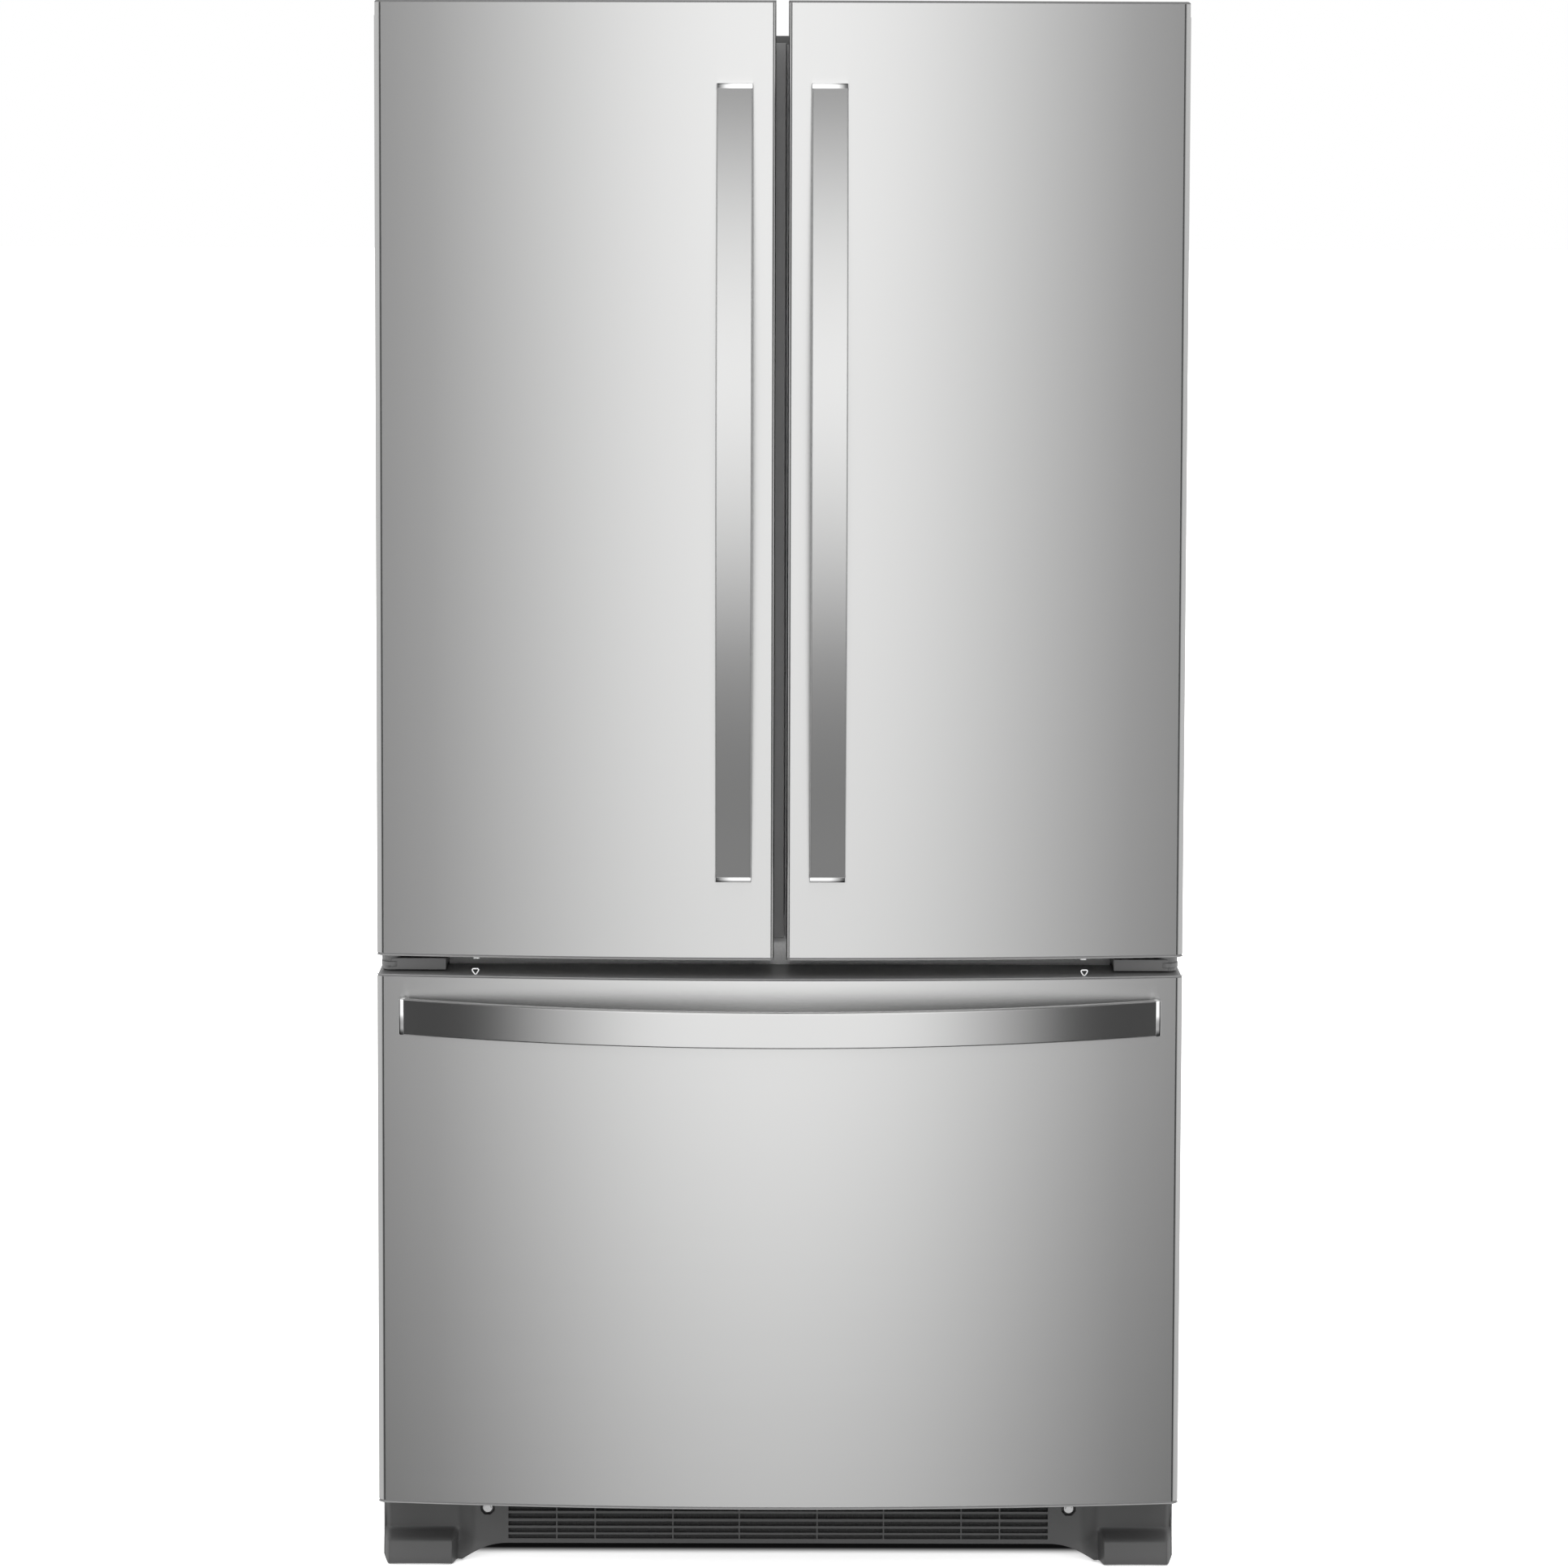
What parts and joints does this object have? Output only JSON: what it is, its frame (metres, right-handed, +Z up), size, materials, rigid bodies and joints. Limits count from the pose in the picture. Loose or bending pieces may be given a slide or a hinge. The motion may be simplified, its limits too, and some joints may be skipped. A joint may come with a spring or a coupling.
{
  "type": "french door refrigerator",
  "caption": "Free-standing refrigerator with side-hinged doors that meet in the middle, full-length bowed bar handles and a pull-out freezer drawer with a horizontal handle below.",
  "frame": {"origin": "on the floor under the middle of the overall box", "axes": "+Z up, doors and drawer face -Y, +X to the right of someone facing the doors"},
  "size_m": [0.905, 0.89, 1.781],
  "materials": {
    "stainless_front": "brushed along its width, satin",
    "stainless_handle": "brushed along its length, satin",
    "handle_end": "polished",
    "cabinet_paint": "fine textured paint",
    "dark_plastic": "fine grained",
    "grille_plastic": "fine grained",
    "cap_plastic": "fine grained",
    "white_liner": "smooth, semi gloss",
    "white_plastic": "smooth",
    "clear_plastic": "clear, glossy",
    "basket_plastic": "frosted",
    "glass": "clear tempered",
    "gasket": "soft, matte",
    "foam": "rigid foam, sealed in",
    "zinc": "zinc plated",
    "grey_bracket": "semi gloss paint",
    "screw": "zinc plated",
    "black_steel": "gloss paint",
    "fin_aluminium": "mill finish",
    "fan_plastic": "moulded",
    "tyre": "hard rubber",
    "lens": "frosted",
    "button": "satin"
  },
  "bodies": {
    "cabinet": {"cabinet_shell": "cabinet_paint", "cabinet_insulation": "foam", "fridge_liner": "white_liner", "freezer_liner": "white_liner", "center_rail": "dark_plastic", "rear_panel": "zinc", "base_chassis": "zinc", "base_grille": "grille_plastic", "machine_cover": "zinc", "screws": "screw", "compressor": "black_steel", "condenser_coil": "black_steel", "condenser_fan_housing": "fan_plastic", "drain_pan": "fan_plastic", "evaporator_coil": "fin_aluminium", "evaporator_cover": "white_plastic", "hinge_brackets": "grey_bracket", "top_hinge_covers": "cap_plastic", "glass_shelves": "glass", "shelf_frames": "white_plastic", "control_housing": "white_plastic", "light_lens": "lens", "slide_outer_rails": "zinc"},
    "left_door": {"left_door_skin": "stainless_front", "left_door_end_caps": "cap_plastic", "left_door_insulation": "foam", "left_door_liner": "white_liner", "left_door_gasket": "gasket", "left_door_bins": "clear_plastic", "left_handle_bar": "stainless_handle", "left_handle_feet": "handle_end"},
    "right_door": {"right_door_skin": "stainless_front", "right_door_end_caps": "cap_plastic", "right_door_insulation": "foam", "right_door_liner": "white_liner", "right_door_gasket": "gasket", "right_door_bins": "clear_plastic", "right_handle_bar": "stainless_handle", "right_handle_feet": "handle_end"},
    "flipper": {"flipper_mullion": "dark_plastic"},
    "freezer_drawer": {"drawer_skin": "stainless_front", "drawer_end_caps": "cap_plastic", "drawer_insulation": "foam", "drawer_liner": "white_liner", "drawer_gasket": "gasket", "drawer_handle_bar": "stainless_handle", "drawer_handle_feet": "handle_end", "slide_inner_rails": "zinc", "lower_basket": "basket_plastic"},
    "middle_rails": {"slide_middle_rails": "zinc"},
    "upper_basket": {"upper_basket": "basket_plastic"},
    "crisper_left": {"crisper_left": "clear_plastic"},
    "crisper_right": {"crisper_right": "clear_plastic"},
    "condenser_fan": {"condenser_fan": "fan_plastic"},
    "evaporator_fan": {"evaporator_fan": "fan_plastic"},
    "rear_rollers": {"rear_rollers": "tyre"},
    "levelling_leg_left": {"levelling_leg_left": "grey_bracket"},
    "levelling_leg_right": {"levelling_leg_right": "grey_bracket"},
    "fridge_temp_button": {"fridge_temp_button": "button"},
    "freezer_temp_button": {"freezer_temp_button": "button"}
  },
  "joints": [
    {"name": "left_door_hinge", "type": "hinge", "parent": "cabinet", "child": "left_door", "pos_m": [-0.4365, -0.325, 1.2], "axis": [0, 0, -1], "range_deg": [0, 120]},
    {"name": "right_door_hinge", "type": "hinge", "parent": "cabinet", "child": "right_door", "pos_m": [0.4365, -0.325, 1.2], "axis": [0, 0, 1], "range_deg": [0, 120]},
    {"name": "flipper_fold", "type": "hinge", "parent": "left_door", "child": "flipper", "pos_m": [-0.041, -0.2687, 1.2], "axis": [0, 0, 1], "range_deg": [0, 90]},
    {"name": "freezer_drawer_slide", "type": "slide", "parent": "cabinet", "child": "freezer_drawer", "axis": [0, -1, 0], "range_m": [0, 0.42]},
    {"name": "middle_rails_slide", "type": "slide", "parent": "cabinet", "child": "middle_rails", "axis": [0, -1, 0], "range_m": [0, 0.21]},
    {"name": "upper_basket_slide", "type": "slide", "parent": "freezer_drawer", "child": "upper_basket", "axis": [0, 1, 0], "range_m": [0, 0.15]},
    {"name": "crisper_left_slide", "type": "slide", "parent": "cabinet", "child": "crisper_left", "axis": [0, -1, 0], "range_m": [0, 0.09]},
    {"name": "crisper_right_slide", "type": "slide", "parent": "cabinet", "child": "crisper_right", "axis": [0, -1, 0], "range_m": [0, 0.09]},
    {"name": "condenser_fan_spin", "type": "hinge", "parent": "cabinet", "child": "condenser_fan", "pos_m": [0, 0.305, 0.14], "axis": [1, 0, 0], "continuous": true},
    {"name": "evaporator_fan_spin", "type": "hinge", "parent": "cabinet", "child": "evaporator_fan", "pos_m": [0, 0.346, 0.56], "axis": [0, 1, 0], "continuous": true},
    {"name": "rear_roller_spin", "type": "hinge", "parent": "cabinet", "child": "rear_rollers", "pos_m": [0, 0.385, 0.022], "axis": [1, 0, 0], "continuous": true},
    {"name": "levelling_leg_left_adjust", "type": "slide", "parent": "cabinet", "child": "levelling_leg_left", "axis": [0, 0, -1], "range_m": [0, 0.02]},
    {"name": "levelling_leg_right_adjust", "type": "slide", "parent": "cabinet", "child": "levelling_leg_right", "axis": [0, 0, -1], "range_m": [0, 0.02]},
    {"name": "fridge_temp_button_press", "type": "slide", "parent": "cabinet", "child": "fridge_temp_button", "axis": [0, 1, 0], "range_m": [0, 0.0015], "stiffness_N_per_m": 400},
    {"name": "freezer_temp_button_press", "type": "slide", "parent": "cabinet", "child": "freezer_temp_button", "axis": [0, 1, 0], "range_m": [0, 0.0015], "stiffness_N_per_m": 400}
  ],
  "couplings": [
    {"joint": "flipper_fold", "follows": "left_door_hinge", "ratio": 0.75},
    {"joint": "middle_rails_slide", "follows": "freezer_drawer_slide", "ratio": 0.5}
  ]
}
